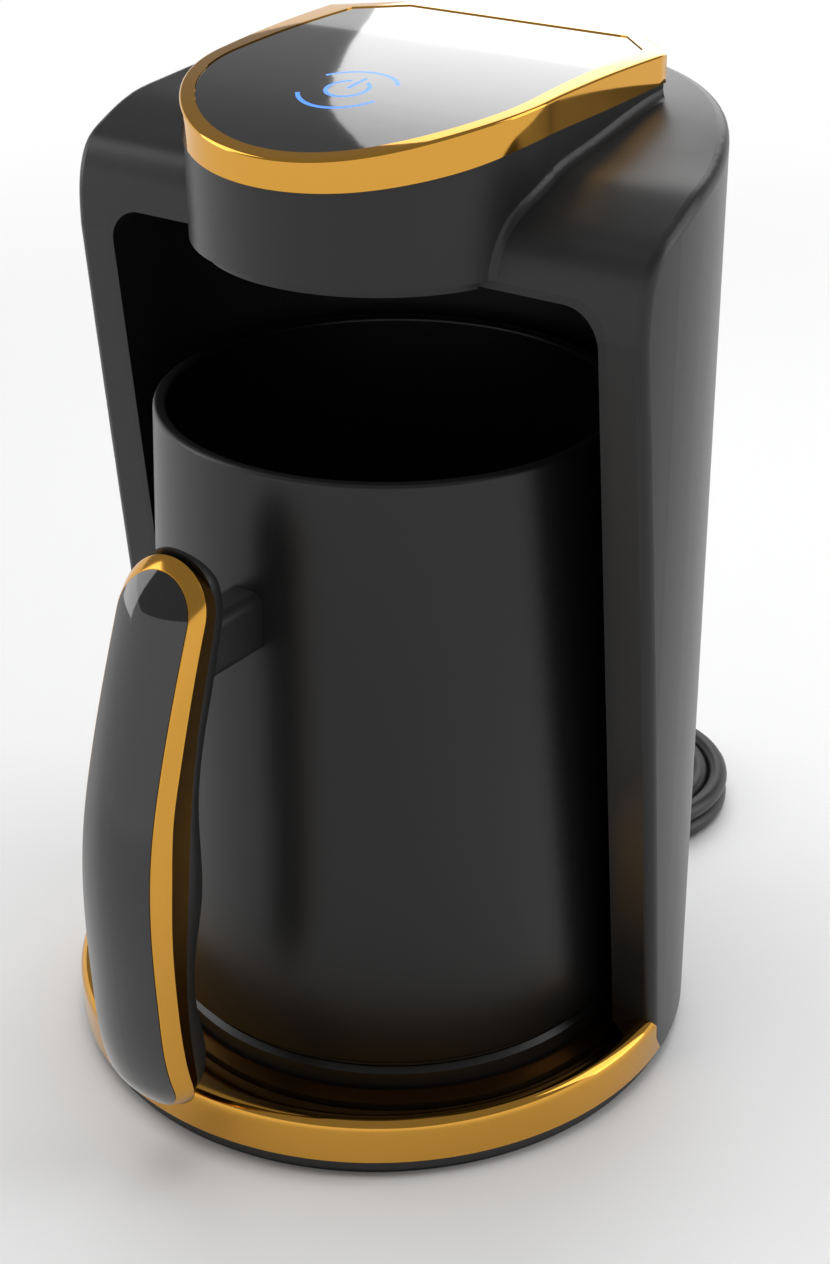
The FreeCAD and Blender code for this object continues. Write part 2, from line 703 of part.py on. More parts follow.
def pot_body():
    pot = pot_cone(0, POT_FOOT_Z, POT_RIM_Z)
    pot = pot.cut(pot_cone(POT_WALL, POT_FLOOR, POT_RIM_Z + 1))
    pot = round_edges(pot, RIM_ROUND, lambda e: e.BoundBox.ZMin > POT_RIM_Z - 0.01)
    pot = pot.cut(pot_cone(POT_WALL, POT_FOOT_Z - 1, POT_FLOOR - POT_WALL))
    pot = pot.cut(cyl(FLOOR_HOLE_R, 0, POT_FLOOR + 1, 0, POT_Y))
    lugs_to = pot_cone(POT_WALL / 2, POT_FOOT_Z, POT_FLOOR)
    for x, y in cap_spots():
        lug = cyl(CAP_LUG_R, CAP_TOP, POT_FLOOR - 1, x, y).common(lugs_to)
        pot = pot.fuse(lug).cut(cyl(SCREW_R, 0, CAP_TOP + 8, x, y))
    return biggest(pot)


def pot_base_cap(pot):
    cap = cyl(CAP_R, CAP_Z, CAP_TOP, 0, POT_Y).cut(pot)
    cap = cap.cut(cyl(CUP_R, 0, 30, 0, POT_Y))
    for x, y in cap_spots():
        cap = cap.cut(cyl(SCREW_R, 0, 30, x, y)).cut(cyl(SCREW_HEAD_R, 0, CAP_Z + 1.5, x, y))
    return biggest(cap)


def cap_screws():
    return [screw(x, y, CAP_Z + 1.5, SCREW_HEAD_R, SCREW_R, 8.0) for x, y in cap_spots()]


def pot_seal():
    return tube(PLATE_R, FLOOR_HOLE_R + 0.8, PLATE_TOP, POT_FLOOR - POT_WALL, 0, POT_Y)


def heater_plate():
    return cyl(PLATE_R, PLATE_TOP - PLATE_T, PLATE_TOP, 0, POT_Y)


def heating_element():
    z = PLATE_TOP - PLATE_T - ELEMENT_TUBE + 0.15
    loop = Part.makeTorus(ELEMENT_R, ELEMENT_TUBE, V(0, POT_Y, z), Z_AXIS, 0, 360, 270)
    loop.rotate(V(0, POT_Y, 0), Z_AXIS, 45)
    return biggest(loop.cut(heater_plate()))


def pot_thermostat():
    return cyl(6.4, PLATE_TOP - PLATE_T - 7, PLATE_TOP - PLATE_T, ELEMENT_R - 1.5, POT_Y)


def pot_connector():
    cup = cyl(CUP_R, CAP_Z, PLATE_TOP - PLATE_T, 0, POT_Y)
    cup = cup.cut(cyl(CUP_BORE, 0, CUP_ROOF, 0, POT_Y))
    return cup.fuse(tube(CUP_R + 2, CUP_R - 1, CAP_TOP, CAP_TOP + 1.5, 0, POT_Y))


def pot_contacts():
    ring = tube(GROOVE_OUT - 0.7, GROOVE_IN + 0.7, SHUTTER_Z + SHUTTER_T + 0.3, CUP_ROOF, 0, POT_Y)
    pin = cyl(CENTRE_HOLE_R - 0.7, CENTRE_FLOOR + 5, CUP_ROOF, 0, POT_Y)
    pin = round_edges(pin, 1.5, lambda e: e.BoundBox.ZMax < CENTRE_FLOOR + 5.01)
    return [ring, pin]


# Handle

def stadium(half, ends):
    """Front outline of a handle layer, with round ends, drawn out along the depth."""
    low = ends[0] + half
    high = ends[1] - half
    y = HANDLE_FROM - 56
    edges = [Part.Arc(V(-half, y, low), V(0, y, ends[0]), V(half, y, low)).toShape(),
             line(V(half, y, low), V(half, y, high)),
             Part.Arc(V(half, y, high), V(0, y, ends[1]), V(-half, y, high)).toShape(),
             line(V(-half, y, high), V(-half, y, low))]
    return Part.Face(Part.Wire(edges)).extrude(V(0, 60, 0))


def slab(front, back):
    """Solid between two side-view curves."""
    f0, f1, b0, b1 = front[0], front[-1], back[0], back[-1]
    edges = [curve(front), line(V(0, f1[0], f1[1]), V(0, b1[0], b1[1])), curve(back),
             line(V(0, b0[0], b0[1]), V(0, f0[0], f0[1]))]
    face = Part.Face(Part.Wire(Part.__sortEdges__(edges)))
    solid = face.extrude(V(60, 0, 0))
    solid.translate(V(-30, 0, 0))
    return solid


def y_at(points, z):
    for (ya, za), (yb, zb) in zip(points, points[1:]):
        if za <= z <= zb:
            return ya + (yb - ya) * (z - za) / (zb - za)
    return points[-1][0]


def on_curve(points, near):
    def wanted(e):
        mid = e.valueAt(0.5 * (e.FirstParameter + e.LastParameter))
        return abs(mid.y - y_at(points, mid.z)) < near
    return wanted


def side_view(points, forward=0.0):
    return [(HANDLE_FROM - out - forward, z) for out, z in points]


def handle_shell():
    shell = slab(side_view(SHELL_BACK, SHELL_CROWN), side_view(SHELL_BACK))
    shell = shell.common(stadium(SHELL_HALF, SHELL_ENDS))
    try:
        shell = round_edges(shell, CROWN_ROUND, on_curve(side_view(SHELL_BACK, SHELL_CROWN), 1.0))
    except Exception:
        print("handle shell left sharp")
    return biggest(shell)


def handle_band():
    band = slab(side_view(SHELL_BACK), side_view(BAND_BACK)).common(stadium(BAND_HALF, BAND_ENDS))
    try:
        band = round_edges(band, BAND_BEVEL, lambda e: True, True)
    except Exception:
        print("handle band left sharp")
    return biggest(band)


def handle_grip():
    grip = slab(side_view(BAND_BACK), side_view(GRIP_BACK)).common(stadium(GRIP_HALF, GRIP_ENDS))
    try:
        grip = round_edges(grip, GRIP_ROUND, on_curve(side_view(GRIP_BACK), 0.6))
    except Exception:
        print("handle grip left sharp")
    for pin in handle_screws():
        grip = grip.cut(pin)
    for z in HANDLE_SCREW_Z:
        grip = grip.cut(along_y(HANDLE_HEAD_R, seat_y() - 6, seat_y(), z))
    return biggest(grip)


def seat_y():
    return HANDLE_FROM - HANDLE_SEAT


def along_y(r, y0, y1, z, x=0.0):
    return Part.makeCylinder(r, y1 - y0, V(x, y0, z), Y_AXIS)


def handle_screws():
    pieces = []
    for z in HANDLE_SCREW_Z:
        head = along_y(HANDLE_HEAD_R, seat_y() - 1.4, seat_y(), z)
        pieces.append(head.fuse(along_y(HANDLE_SCREW_R, seat_y(), seat_y() + 12, z)))
    return pieces


def handle_neck(grip):
    z0, z1 = NECK_Z
    neck = box(-NECK_HALF, NECK_HALF, seat_y(), HANDLE_FROM + 6.5, z0, z1)
    neck = round_edges(neck, NECK_ROUND, lambda e: e.BoundBox.YLength > 20)
    neck = neck.cut(pot_cone(0, POT_FOOT_Z, POT_RIM_Z)).cut(grip)
    neck = neck.cut(slab(side_view(SHELL_BACK), side_view(BAND_BACK)))
    for pin in handle_screws():
        neck = neck.cut(pin)
    return biggest(neck)


# Mains lead

def relief_stem():
    """U-shaped stem of the grommet, open to the base pan below."""
    y = wall_y()
    foot = box(EXIT_X - STEM_R, EXIT_X + STEM_R, y - 6, y + 5, RING_Z - 1, EXIT_Z)
    return along_y(STEM_R, y - 6, y + 5, EXIT_Z, EXIT_X).fuse(foot)


def wall_y():
    """Where the lead's axis meets the outside of the tower."""
    return math.sqrt(TOWER_R ** 2 - EXIT_X ** 2)


def cord_gland(shell, ring, pan):
    y = wall_y()
    flange = along_y(STEM_R + 2.1, y - 3.3, y + 4.3, EXIT_Z, EXIT_X)
    flange = flange.cut(cyl(TOWER_R, 0, 30))
    gland = flange.fuse(relief_stem())
    taper = Part.makeCone(RELIEF_R, CORD_R + 0.7, RELIEF_END_Y - y - 2.7, V(EXIT_X, y + 2.7, EXIT_Z), Y_AXIS)
    gland = gland.fuse(taper).cut(shell).cut(ring).cut(pan)
    return biggest(gland)


def coil_radii():
    step = 2 * CORD_R
    return [COIL_MID + step * (i - (COIL_TURNS - 1) / 2) for i in range(COIL_TURNS)]


def cord_coil():
    """Outer shape of the flat coil: three turns side by side on top of two."""
    radii = coil_radii()
    coil = tube(radii[-1] + CORD_R, radii[0] - CORD_R, 0, 4 * CORD_R, COIL_X, COIL_Y)
    return round_edges(coil, CORD_R * 0.9, lambda e: e.BoundBox.ZLength < 0.01)


def cord_lead(coil):
    lead = along_y(CORD_R, RELIEF_END_Y, COIL_Y, EXIT_Z, EXIT_X)
    return biggest(lead.cut(coil))


def plug_place(shape):
    shape.rotate(V(0, 0, 0), Z_AXIS, PLUG_TURN)
    shape.translate(V(PLUG_AT[0], PLUG_AT[1], 0))
    return shape


def cord_tail(coil, plug):
    turn = math.radians(PLUG_TURN)
    low = CORD_R
    end = V(PLUG_AT[0] + 1.5 * math.cos(turn), PLUG_AT[1] + 1.5 * math.sin(turn), PLUG_AT[2] + 0.2)
    bend = V(PLUG_AT[0] + 15.4, PLUG_AT[1] - 11.6, low + 2.2)
    points = [V(EXIT_X, COIL_Y, low), V(EXIT_X, COIL_Y + 20, low), bend, end]
    radii = []
    for i in (1, 2):
        a = points[i] - points[i - 1]
        b = points[i + 1] - points[i]
        radii.append(0.45 * min(a.Length, b.Length) / math.tan(0.5 * a.getAngle(b)))
    tail, length = bent_tube(points, radii, CORD_R)
    print("tail bends", [round(r, 1) for r in radii], "lead diameter", 2 * CORD_R)
    swept = math.pi * CORD_R ** 2 * length
    print("tail volume against section times length", round(tail.Volume / swept, 4))
    return biggest(tail.cut(coil).cut(plug)), length


def mains_plug():
    long, wide, high = PLUG_SIZE
    body = box(PLUG_SLEEVE, PLUG_SLEEVE + long, -wide / 2, wide / 2, 0, high)

    def at_sleeve(e):
        return e.BoundBox.ZLength > high - 1 and e.BoundBox.XMin < PLUG_SLEEVE + 1
    body = round_edges(body, 6.0, at_sleeve)
    body = round_edges(body, 2.5, lambda e: e.BoundBox.ZLength < 0.1)
    sleeve = Part.makeCone(CORD_R + 1.1, 5.4, PLUG_SLEEVE + 2, V(0, 0, PLUG_AT[2]), X_AXIS)
    body = body.fuse(sleeve)
    return plug_place(biggest(body))


def plug_pins(plug):
    pins = []
    x = PLUG_SLEEVE + PLUG_SIZE[0]
    for s in (1, -1):
        pin = Part.makeCylinder(PIN_R, PIN_LONG, V(x, s * PIN_HALF_GAP, PLUG_AT[2]), X_AXIS)
        pin = round_edges(pin, 1.2, lambda e: e.BoundBox.XMin > x + PIN_LONG - 0.1)
        pins.append(plug_place(pin))
    return pins


def save(name, shape):
    solids = shape if isinstance(shape, list) else [shape]
    out = []
    for item in solids:
        out.extend(item.Solids)
    good = all(s.isValid() for s in out)
    whole = out[0] if len(out) == 1 else Part.makeCompound(out)
    whole.exportStep("parts/" + name + ".step")
    b = whole.BoundBox
    note = "" if good else "  NOT VALID"
    print(name, len(out), round(sum(s.Volume for s in out), 1),
          [round(v, 1) for v in (b.XMin, b.XMax, b.YMin, b.YMax, b.ZMin, b.ZMax)], note)


def main():
    os.makedirs("parts", exist_ok=True)
    ring = base_ring()
    pan = base_pan()
    shell = body_shell()
    pot = pot_body()
    grip = handle_grip()
    coil = cord_coil()
    plug = mains_plug()
    tail, tail_length = cord_tail(coil, plug)
    turns = 2 * math.pi * (sum(coil_radii()) + sum(coil_radii()[1:]))
    print("lead outside the case", round(COIL_Y - wall_y() + turns + tail_length))

    save("rubber_foot_ring", rubber_foot_ring())
    save("base_pan", pan)
    save("base_screws", base_screws())
    save("base_ring", ring)
    save("pot_seat", pot_seat())
    save("base_connector", base_connector())
    save("base_contacts", base_contacts())
    save("shutter_spring", shutter_spring())
    save("shutter_ring", shutter_ring())
    save("terminal_block", terminal_block())
    save("wiring_harness", wiring_harness())
    save("harness_socket", harness_socket())
    save("body_shell", shell)
    save("alcove_liner", alcove_liner())
    save("head_floor", head_floor())
    save("sensor_window", sensor_window())
    save("boil_sensor", boil_sensor())
    save("head_trim", head_trim())
    save("touch_panel", touch_panel())
    save("power_symbol", power_symbol())
    save("touch_board", touch_board())
    save("touch_spacers", touch_spacers())
    save("touch_spring", touch_spring())
    save("status_leds", status_leds())
    save("control_board", control_board())
    save("board_spacers", board_spacers())
    save("board_screws", board_screws())
    save("relay", on_board(-18, 30, 15, 19, 11))
    save("capacitor", cyl(5.5, BOARD_Z + BOARD_T, BOARD_Z + BOARD_T + 10, 20, 34))
    save("buzzer", cyl(6.0, BOARD_Z + BOARD_T, BOARD_Z + BOARD_T + 6, 19, 14))
    save("pot_body", pot)
    save("pot_base_cap", pot_base_cap(pot))
    save("cap_screws", cap_screws())
    save("pot_seal", pot_seal())
    save("heater_plate", heater_plate())
    save("heating_element", heating_element())
    save("pot_thermostat", pot_thermostat())
    save("pot_connector", pot_connector())
    save("pot_contacts", pot_contacts())
    save("handle_shell", handle_shell())
    save("handle_band", handle_band())
    save("handle_grip", grip)
    save("handle_neck", handle_neck(grip))
    save("handle_screws", handle_screws())
    save("cord_gland", cord_gland(shell, ring, pan))
    save("cord_lead", cord_lead(coil))
    save("cord_coil", coil)
    save("cord_tail", tail)
    save("mains_plug", plug)
    save("plug_pins", plug_pins(plug))


main()
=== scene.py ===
import math
import bpy
import numpy as np
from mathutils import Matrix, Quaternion, Vector


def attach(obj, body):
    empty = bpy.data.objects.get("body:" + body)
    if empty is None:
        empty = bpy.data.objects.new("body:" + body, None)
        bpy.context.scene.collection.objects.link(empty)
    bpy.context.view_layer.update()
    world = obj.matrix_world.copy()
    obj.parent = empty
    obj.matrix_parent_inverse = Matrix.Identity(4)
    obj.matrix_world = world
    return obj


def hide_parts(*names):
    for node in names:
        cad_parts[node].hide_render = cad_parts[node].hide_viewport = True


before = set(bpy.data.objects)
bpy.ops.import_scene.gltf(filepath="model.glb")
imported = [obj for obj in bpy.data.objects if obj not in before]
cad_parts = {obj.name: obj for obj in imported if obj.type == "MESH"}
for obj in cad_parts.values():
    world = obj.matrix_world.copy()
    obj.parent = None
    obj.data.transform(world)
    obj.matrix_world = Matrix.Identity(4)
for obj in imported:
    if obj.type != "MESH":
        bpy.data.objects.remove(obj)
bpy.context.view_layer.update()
MM = 0.001

# Camera at the photograph's angle, in metres and radians
AZIMUTH = math.radians(34.15)
ELEVATION = math.radians(27.5)
CAMERA_PLACE = (0.2374, -0.3243, 0.2912)
LENS = 64.55
SENSOR = 36.0
SHIFT = (-0.0277, 0.0103)
NEAREST = 0.01
cam_data = bpy.data.cameras.new("camera")
cam_data.lens = LENS
cam_data.sensor_width = SENSOR
cam_data.shift_x, cam_data.shift_y = SHIFT
cam_data.clip_start = NEAREST
camera = bpy.data.objects.new("camera", cam_data)
camera.location = CAMERA_PLACE
camera.rotation_euler = (math.pi / 2 - ELEVATION, 0.0, AZIMUTH)
bpy.context.scene.collection.objects.link(camera)
bpy.context.scene.camera = camera
bpy.context.scene.view_settings.view_transform = "Standard"


def link(obj):
    bpy.context.scene.collection.objects.link(obj)
    return obj


# Mains lead: one open spline through the grommet, the coil and on to the plug
CORD_R = 2.3
COIL = (-1.0, 95.0)
COIL_MID = 23.0
EXIT = (-28.6, 77.6, 6.9)
COIL_STEPS = 24
LAYER_UP = 3 * CORD_R - 0.1
LAYER_LOW = CORD_R + 0.02


def ease(t):
    t = min(max(t, 0.0), 1.0)
    return t * t * (3 - 2 * t)


def coil_point(t, upper):
    """Place on the coil after t turns of a layer: clockwise from its left side."""
    step = 2 * CORD_R
    if upper:
        k = min(int(t), 2)
        r = COIL_MID + step * (1 - k)
        z = LAYER_UP
        if k < 2:
            r -= step * ease((t - k - 0.75) * 4)
        else:
            z += (LAYER_LOW - LAYER_UP) * ease((t - 2.75) * 4)
    else:
        r = COIL_MID - step + step * ease(t * 4) + step * ease((t - 1) * 4)
        z = LAYER_LOW
    r /= math.cos(math.pi / COIL_STEPS)
    a = math.pi - 2 * math.pi * t
    return (COIL[0] + r * math.cos(a), COIL[1] + r * math.sin(a), z)


def cord_path():
    """Route points in millimetres: in on the upper layer, back out on the lower one."""
    pts = [EXIT, (EXIT[0], EXIT[1] + 7, EXIT[2]), (EXIT[0] - 0.1, EXIT[1] + 13, LAYER_UP)]
    for i in range(3 * COIL_STEPS):
        pts.append(coil_point(i / COIL_STEPS, True))
    for i in range(2 * COIL_STEPS + 1):
        pts.append(coil_point(i / COIL_STEPS, False))
    low = LAYER_LOW
    pts += [(EXIT[0], 103.0, low), (EXIT[0], 115.0, low), (-40.6, 131.0, low + 2.2), (-56.0, 142.6, 7.0)]
    return pts


def path_length(pts):
    """Length of the quadratic spline over these points, in metres."""
    v = [Vector(p) for p in pts]
    run = [v[0]]
    for a, b, c in zip(v, v[1:], v[2:]):
        run += [(a + 6 * b + c) / 8, (b + c) / 2]
    run[-1] = v[-1]
    return sum((q - p).length for p, q in zip(run, run[1:])) * MM


def make_cord(name, pts, radius):
    data = bpy.data.curves.new(name, "CURVE")
    data.dimensions = "3D"
    data.bevel_depth = radius * MM
    data.bevel_resolution = 6
    data.resolution_u = 8
    data.use_fill_caps = True
    spline = data.splines.new("NURBS")
    spline.points.add(len(pts) - 1)
    for p, co in zip(spline.points, pts):
        p.co = (co[0] * MM, co[1] * MM, co[2] * MM, 1.0)
    spline.order_u = 3
    spline.use_endpoint_u = True
    return link(bpy.data.objects.new(name, data))


lead = make_cord("mains_lead", cord_path(), CORD_R)


# Materials
def node_material(name):
    mat = bpy.data.materials.new(name)
    mat.use_nodes = True
    nodes = mat.node_tree.nodes
    nodes.clear()
    out = nodes.new("ShaderNodeOutputMaterial")
    shader = nodes.new("ShaderNodeBsdfPrincipled")
    mat.node_tree.links.new(shader.outputs[0], out.inputs[0])
    return mat, nodes, mat.node_tree.links, shader


def grain_group():
    """Fine surface grain: a normal and a slight change of roughness."""
    group = bpy.data.node_groups.new("fine_grain", "ShaderNodeTree")
    face = group.interface
    face.new_socket("Scale", in_out="INPUT", socket_type="NodeSocketFloat").default_value = 2000.0
    face.new_socket("Height", in_out="INPUT", socket_type="NodeSocketFloat").default_value = 0.1
    face.new_socket("Roughness", in_out="INPUT", socket_type="NodeSocketFloat").default_value = 0.4
    face.new_socket("Normal", in_out="OUTPUT", socket_type="NodeSocketVector")
    face.new_socket("Roughness", in_out="OUTPUT", socket_type="NodeSocketFloat")
    nodes = group.nodes
    links = group.links
    gin = nodes.new("NodeGroupInput")
    gout = nodes.new("NodeGroupOutput")
    coord = nodes.new("ShaderNodeTexCoord")
    noise = nodes.new("ShaderNodeTexNoise")
    noise.inputs["Detail"].default_value = 2.0
    bump = nodes.new("ShaderNodeBump")
    bump.inputs["Distance"].default_value = 0.00004
    ramp = nodes.new("ShaderNodeMapRange")
    ramp.inputs["To Min"].default_value = -0.04
    ramp.inputs["To Max"].default_value = 0.04
    add = nodes.new("ShaderNodeMath")
    links.new(coord.outputs["Object"], noise.inputs["Vector"])
    links.new(gin.outputs["Scale"], noise.inputs["Scale"])
    links.new(gin.outputs["Height"], bump.inputs["Strength"])
    links.new(noise.outputs["Fac"], bump.inputs["Height"])
    links.new(noise.outputs["Fac"], ramp.inputs["Value"])
    links.new(ramp.outputs[0], add.inputs[0])
    links.new(gin.outputs["Roughness"], add.inputs[1])
    links.new(bump.outputs[0], gout.inputs["Normal"])
    links.new(add.outputs[0], gout.inputs["Roughness"])
    return group


GRAIN = grain_group()


def finish_of(name, colour, rough, metal=0.0, coat=0.0, grain=0.1, scale=2000.0, specular=0.5):
    mat, nodes, links, shader = node_material(name)
    shader.inputs["Base Color"].default_value = (*colour, 1.0)
    shader.inputs["Metallic"].default_value = metal
    shader.inputs["Specular IOR Level"].default_value = specular
    shader.inputs["Coat Weight"].default_value = coat
    shader.inputs["Coat Roughness"].default_value = 0.03
    group = nodes.new("ShaderNodeGroup")
    group.node_tree = GRAIN
    group.inputs["Scale"].default_value = scale
    group.inputs["Height"].default_value = grain
    group.inputs["Roughness"].default_value = rough
    links.new(group.outputs["Normal"], shader.inputs["Normal"])
    links.new(group.outputs["Roughness"], shader.inputs["Roughness"])
    return mat


SOFT_BLACK = finish_of("soft_black", (0.016, 0.0157, 0.0155), 0.33, grain=0.1, specular=0.4)
LINER_BLACK = finish_of("liner_black", (0.008, 0.008, 0.008), 0.5, grain=0.1)
POT_BLACK = finish_of("pot_black", (0.009, 0.009, 0.009), 0.34, grain=0.1, specular=0.4)
GILT = finish_of("gilt", (0.66, 0.335, 0.055), 0.06, metal=1.0, grain=0.01, scale=600.0)
GILT_SATIN = finish_of("gilt_satin", (0.66, 0.335, 0.055), 0.17, metal=1.0, grain=0.01, scale=600.0)
GLOSS_BLACK = finish_of("gloss_black", (0.006, 0.006, 0.006), 0.06, coat=0.6, grain=0.0)
INNER_BLACK = finish_of("inner_black", (0.02, 0.02, 0.02), 0.5)
RUBBER = finish_of("rubber_black", (0.018, 0.018, 0.018), 0.6, grain=0.25, scale=900.0)
CORD_BLACK = finish_of("cord_black", (0.014, 0.014, 0.014), 0.38, grain=0.12, scale=700.0)
STEEL = finish_of("steel", (0.55, 0.55, 0.54), 0.28, metal=1.0, grain=0.08)
ALLOY = finish_of("alloy", (0.62, 0.62, 0.62), 0.38, metal=1.0, grain=0.08)
BRASS = finish_of("brass", (0.62, 0.44, 0.18), 0.25, metal=1.0, grain=0.05)
CHROME = finish_of("nickel", (0.72, 0.71, 0.69), 0.1, metal=1.0, grain=0.02)
SEAL = finish_of("silicone", (0.4, 0.4, 0.37), 0.55)
GREEN = finish_of("board_green", (0.02, 0.12, 0.05), 0.35, coat=0.3)
GREY = finish_of("part_grey", (0.18, 0.18, 0.19), 0.45)
WIRE = finish_of("wire_red", (0.25, 0.02, 0.02), 0.4)
CLEAR = finish_of("window", (0.5, 0.52, 0.54), 0.08, coat=0.5, grain=0.0)


def lit_symbol():
    mat, nodes, links, shader = node_material("symbol_blue")
    shader.inputs["Base Color"].default_value = (0.02, 0.12, 0.5, 1.0)
    shader.inputs["Roughness"].default_value = 0.3
    shader.inputs["Emission Color"].default_value = (0.03, 0.21, 0.93, 1.0)
    shader.inputs["Emission Strength"].default_value = 0.95
    return mat


SYMBOL = lit_symbol()

NODE_FINISH = {
    "rubber_foot_ring": RUBBER, "base_pan": INNER_BLACK, "base_screws": STEEL, "base_ring": GILT,
    "pot_seat": SOFT_BLACK, "base_connector": INNER_BLACK, "base_contacts": BRASS, "shutter_spring": STEEL,
    "shutter_ring": INNER_BLACK, "terminal_block": GREY, "wiring_harness": WIRE, "harness_socket": GREY,
    "body_shell": SOFT_BLACK, "alcove_liner": LINER_BLACK, "head_floor": SOFT_BLACK, "sensor_window": CLEAR,
    "boil_sensor": GREY, "head_trim": GILT, "touch_panel": GLOSS_BLACK, "power_symbol": SYMBOL,
    "touch_board": GREEN, "touch_spacers": INNER_BLACK, "touch_spring": STEEL, "status_leds": CLEAR,
    "control_board": GREEN, "board_spacers": INNER_BLACK, "board_screws": STEEL, "relay": GREY,
    "capacitor": ALLOY, "buzzer": INNER_BLACK, "cord_gland": CORD_BLACK, "cord_lead": CORD_BLACK,
    "cord_coil": CORD_BLACK, "cord_tail": CORD_BLACK, "mains_plug": CORD_BLACK, "plug_pins": CHROME,
    "pot_body": POT_BLACK, "pot_base_cap": INNER_BLACK, "cap_screws": STEEL, "pot_seal": SEAL,
    "heater_plate": STEEL, "heating_element": ALLOY, "pot_thermostat": GREY, "pot_connector": INNER_BLACK,
    "pot_contacts": BRASS, "handle_shell": GLOSS_BLACK, "handle_band": GILT, "handle_grip": SOFT_BLACK,
    "handle_neck": SOFT_BLACK, "handle_screws": STEEL,
}
for node_name, node_mat in NODE_FINISH.items():
    node_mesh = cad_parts[node_name].data
    node_mesh.materials.clear()
    node_mesh.materials.append(node_mat)
lead.data.materials.append(CORD_BLACK)
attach(lead, "machine")
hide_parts("cord_lead", "cord_coil", "cord_tail")
round(path_length(cord_path()), 3)


# Mesh helpers: all take millimetres
def make_mesh(name, verts, faces, mat, body, replaces=(), smooth=True, sharp=None):
    mesh = bpy.data.meshes.new(name)
    mesh.from_pydata([(x * MM, y * MM, z * MM) for x, y, z in verts], [], faces)
    mesh.validate()
    mesh.polygons.foreach_set("use_smooth", [smooth] * len(mesh.polygons))
    mesh.materials.append(mat)
    obj = link(bpy.data.objects.new(name, mesh))
    if sharp:
        mesh.set_sharp_from_angle(angle=math.radians(sharp))
    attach(obj, body)
    if replaces:
        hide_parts(*replaces)
    return obj


def loft(rings, closed=False):
    """Skin of closed loops with equal point counts. Ends are closed by flat faces unless it joins up."""
    count = len(rings[0])
    verts = [p for ring in rings for p in ring]
    faces = []
    spans = len(rings) if closed else len(rings) - 1
    for k in range(spans):
        a = k * count
        b = ((k + 1) % len(rings)) * count
        for i in range(count):
            j = (i + 1) % count
            faces.append((a + i, a + j, b + j, b + i))
    if not closed:
        faces.append(tuple(reversed(range(count))))
        faces.append(tuple(range((len(rings) - 1) * count, len(rings) * count)))
    return verts, faces


def circle(r, z, cx=0.0, cy=0.0, count=256):
    return [(cx + r * math.cos(2 * math.pi * i / count), cy + r * math.sin(2 * math.pi * i / count), z)
            for i in range(count)]


def corner_points(points, radius, steps=6):
    """A 2D outline with its inner points rounded."""
    out = [points[0]]
    for a, b, c in zip(points, points[1:], points[2:]):
        va = Vector(a) - Vector(b)
        vc = Vector(c) - Vector(b)
        reach = min(radius, 0.45 * va.length, 0.45 * vc.length)
        p = Vector(b) + va.normalized() * reach
        q = Vector(b) + vc.normalized() * reach
        for i in range(steps + 1):
            t = i / steps
            m = p * (1 - t) ** 2 + Vector(b) * 2 * t * (1 - t) + q * t * t
            out.append((m.x, m.y))
    out.append(points[-1])
    return out


def spline_fn(points):
    """Natural cubic through side-view points given as (y, z): returns y for a height z."""
    pts = sorted(points, key=lambda p: p[1])
    zs = np.array([p[1] for p in pts], float)
    ys = np.array([p[0] for p in pts], float)
    n = len(zs)
    h = np.diff(zs)
    a = np.zeros((n, n))
    r = np.zeros(n)
    a[0, 0] = a[-1, -1] = 1.0
    for i in range(1, n - 1):
        a[i, i - 1] = h[i - 1]
        a[i, i] = 2 * (h[i - 1] + h[i])
        a[i, i + 1] = h[i]
        r[i] = 3 * ((ys[i + 1] - ys[i]) / h[i] - (ys[i] - ys[i - 1]) / h[i - 1])
    c = np.linalg.solve(a, r)

    def value(z):
        i = int(np.clip(np.searchsorted(zs, z) - 1, 0, n - 2))
        d = z - zs[i]
        b = (ys[i + 1] - ys[i]) / h[i] - h[i] * (2 * c[i] + c[i + 1]) / 3
        return float(ys[i] + b * d + c[i] * d * d + (c[i + 1] - c[i]) / (3 * h[i]) * d ** 3)
    return value


# Pot: a lathed wall with a rounded rim
POT_Y = 5.5
POT_FOOT_R = 50.0
POT_TAPER = 4.8
POT_FOOT = 12.9
POT_RIM = 134.3
POT_WALL = 2.5
LEDGE_R = 34.0
LEDGE_LOW = 27.5
LEDGE_HIGH = 30.0
RIM_ROUND = 0.95


def pot_r(z):
    return POT_FOOT_R - POT_TAPER * (z - POT_FOOT) / (POT_RIM - POT_FOOT)


def build_pot():
    profile = [(pot_r(POT_FOOT) - POT_WALL + 0.1, POT_FOOT), (pot_r(POT_FOOT), POT_FOOT),
               (pot_r(POT_RIM), POT_RIM), (pot_r(POT_RIM) - POT_WALL, POT_RIM),
               (pot_r(LEDGE_HIGH) - POT_WALL, LEDGE_HIGH),
               (LEDGE_R, LEDGE_HIGH), (LEDGE_R, LEDGE_LOW), (pot_r(LEDGE_LOW) - POT_WALL, LEDGE_LOW)]
    pts = corner_points(profile + [profile[0]], RIM_ROUND, 5)[:-1]
    rings = [circle(r, z, 0, POT_Y) for r, z in pts]
    verts, faces = loft(rings, closed=True)
    faces = [tuple(reversed(f)) for f in faces]
    return make_mesh("pot_wall", verts, faces, POT_BLACK, "pot", ["pot_body"], sharp=40)


# Gilt base ring: outer face, broad crest, slope down to the seat
RING_R = 63.95
RING_FOOT = 4.0
RING_EDGE = 10.6
CREST_MID = (61.9, 10.9)
CREST_WIDE = 2.05
CREST_HIGH = 2.25
CREST_STEPS = 12
SEAT_R = 49.6
SEAT_Z = 6.95
BORE_R = 49.4
SLOPE_STEPS = 8


